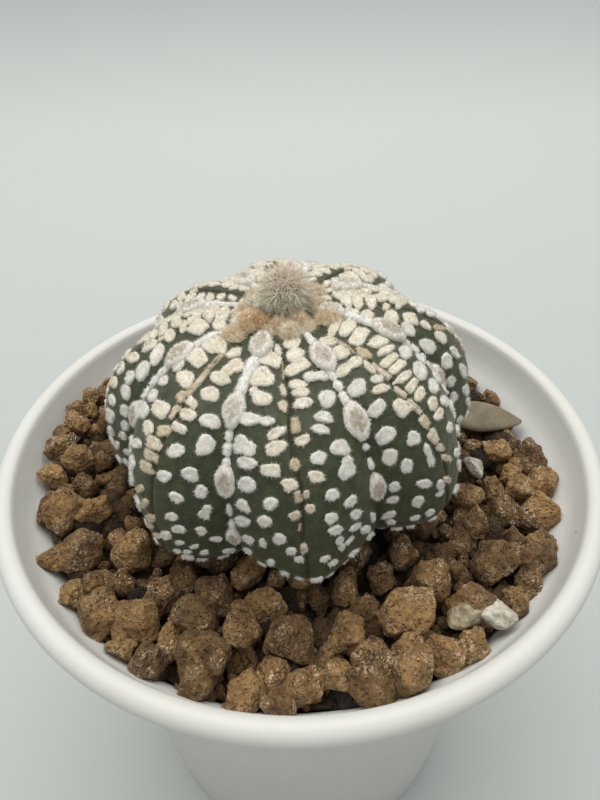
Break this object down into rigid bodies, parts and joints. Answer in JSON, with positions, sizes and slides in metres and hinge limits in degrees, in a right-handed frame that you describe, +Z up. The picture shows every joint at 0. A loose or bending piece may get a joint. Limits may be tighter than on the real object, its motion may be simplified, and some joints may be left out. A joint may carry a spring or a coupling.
{
  "type": "potted star cactus",
  "caption": "Low ribbed star cactus with white flecks, felt-joined areoles and a woolly bud, set in lumpy grit in a white round flower pot with a rolled rim.",
  "frame": {"origin": "centre of the circle that the pot's foot stands on", "axes": "+Z up along the pot's axis; the side shown in the picture looks to -Y"},
  "size_m": [0.1, 0.1, 0.1239],
  "materials": {
    "pot": "smooth white moulded plastic with a soft gloss",
    "soil": "baked tan-brown clay lumps, pitted, with small wet glints",
    "cactus_skin": "dark grey-green waxy skin with raised white and cream woolly flecks",
    "wool": "short matted wool, white on the felt strips, beige on the areoles and orange-tan at the crown",
    "bud_hair": "dense grey-beige hairs, pinkish at the top",
    "flat_stone": "smooth matt grey-tan pebble",
    "pale_stone": "rough pale pumice"
  },
  "bodies": {
    "root": {"pot": "pot", "soil": "soil", "cactus_body": "cactus_skin", "areole_wool": "wool", "flower_bud": "bud_hair", "flat_stone": "flat_stone", "pale_stone_1": "pale_stone", "pale_stone_2": "pale_stone", "pale_stone_3": "pale_stone"}
  },
  "joints": []
}
